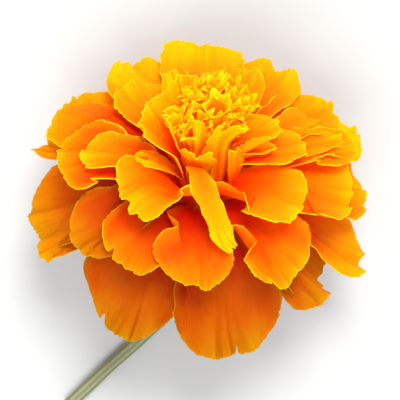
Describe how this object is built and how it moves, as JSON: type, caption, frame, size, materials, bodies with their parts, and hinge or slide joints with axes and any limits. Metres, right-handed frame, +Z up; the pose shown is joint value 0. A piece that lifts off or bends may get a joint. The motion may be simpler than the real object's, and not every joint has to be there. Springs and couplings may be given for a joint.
{
  "type": "marigold flower",
  "caption": "Double crested marigold flower, picked with a short stem and lying down; layered golden orange ray florets with scalloped yellow rims round a tuft of disc florets.",
  "frame": {"origin": "on the surface that the flower lies on, under the middle of its outline", "axes": "+Z up; the bloom leans towards -Y with its axis 48 degrees above the surface, and the cut stem runs to +Y and +X"},
  "size_m": [0.061, 0.0702, 0.0446],
  "materials": {
    "ray_floret": "soft matte petal, golden orange with a yellow rim",
    "disc_floret": "soft matte petal, golden yellow",
    "involucre": "smooth satin green bracts with fine ribs",
    "ovary": "dull, fibrous",
    "peduncle": "satin grey green, finely ribbed"
  },
  "bodies": {
    "root": {"disc_floret_1": "disc_floret", "disc_floret_2": "disc_floret", "disc_floret_3": "disc_floret", "disc_floret_4": "disc_floret", "disc_floret_5": "disc_floret", "disc_floret_bundle": "disc_floret", "involucre": "involucre", "ovaries": "ovary", "peduncle": "peduncle", "ray_floret_back_1": "ray_floret", "ray_floret_back_2": "ray_floret", "ray_floret_back_3": "ray_floret", "ray_floret_back_4": "ray_floret", "ray_floret_back_5": "ray_floret", "ray_floret_back_6": "ray_floret", "ray_floret_back_7": "ray_floret", "ray_floret_crest_1": "ray_floret", "ray_floret_crest_2": "ray_floret", "ray_floret_crest_3": "ray_floret", "ray_floret_crest_4": "ray_floret", "ray_floret_crest_5": "ray_floret", "ray_floret_crest_6": "ray_floret", "ray_floret_crest_7": "ray_floret", "ray_floret_crest_8": "ray_floret", "ray_floret_high_1": "ray_floret", "ray_floret_high_10": "ray_floret", "ray_floret_high_11": "ray_floret", "ray_floret_high_12": "ray_floret", "ray_floret_high_13": "ray_floret", "ray_floret_high_2": "ray_floret", "ray_floret_high_3": "ray_floret", "ray_floret_high_4": "ray_floret", "ray_floret_high_5": "ray_floret", "ray_floret_high_6": "ray_floret", "ray_floret_high_7": "ray_floret", "ray_floret_high_8": "ray_floret", "ray_floret_high_9": "ray_floret", "ray_floret_low_1": "ray_floret", "ray_floret_low_2": "ray_floret", "ray_floret_low_3": "ray_floret", "ray_floret_low_4": "ray_floret", "ray_floret_low_5": "ray_floret", "ray_floret_low_6": "ray_floret", "ray_floret_low_7": "ray_floret", "ray_floret_low_8": "ray_floret", "ray_floret_mid_1": "ray_floret", "ray_floret_mid_10": "ray_floret", "ray_floret_mid_11": "ray_floret", "ray_floret_mid_12": "ray_floret", "ray_floret_mid_13": "ray_floret", "ray_floret_mid_14": "ray_floret", "ray_floret_mid_2": "ray_floret", "ray_floret_mid_3": "ray_floret", "ray_floret_mid_4": "ray_floret", "ray_floret_mid_5": "ray_floret", "ray_floret_mid_6": "ray_floret", "ray_floret_mid_7": "ray_floret", "ray_floret_mid_8": "ray_floret", "ray_floret_mid_9": "ray_floret"}
  },
  "joints": []
}
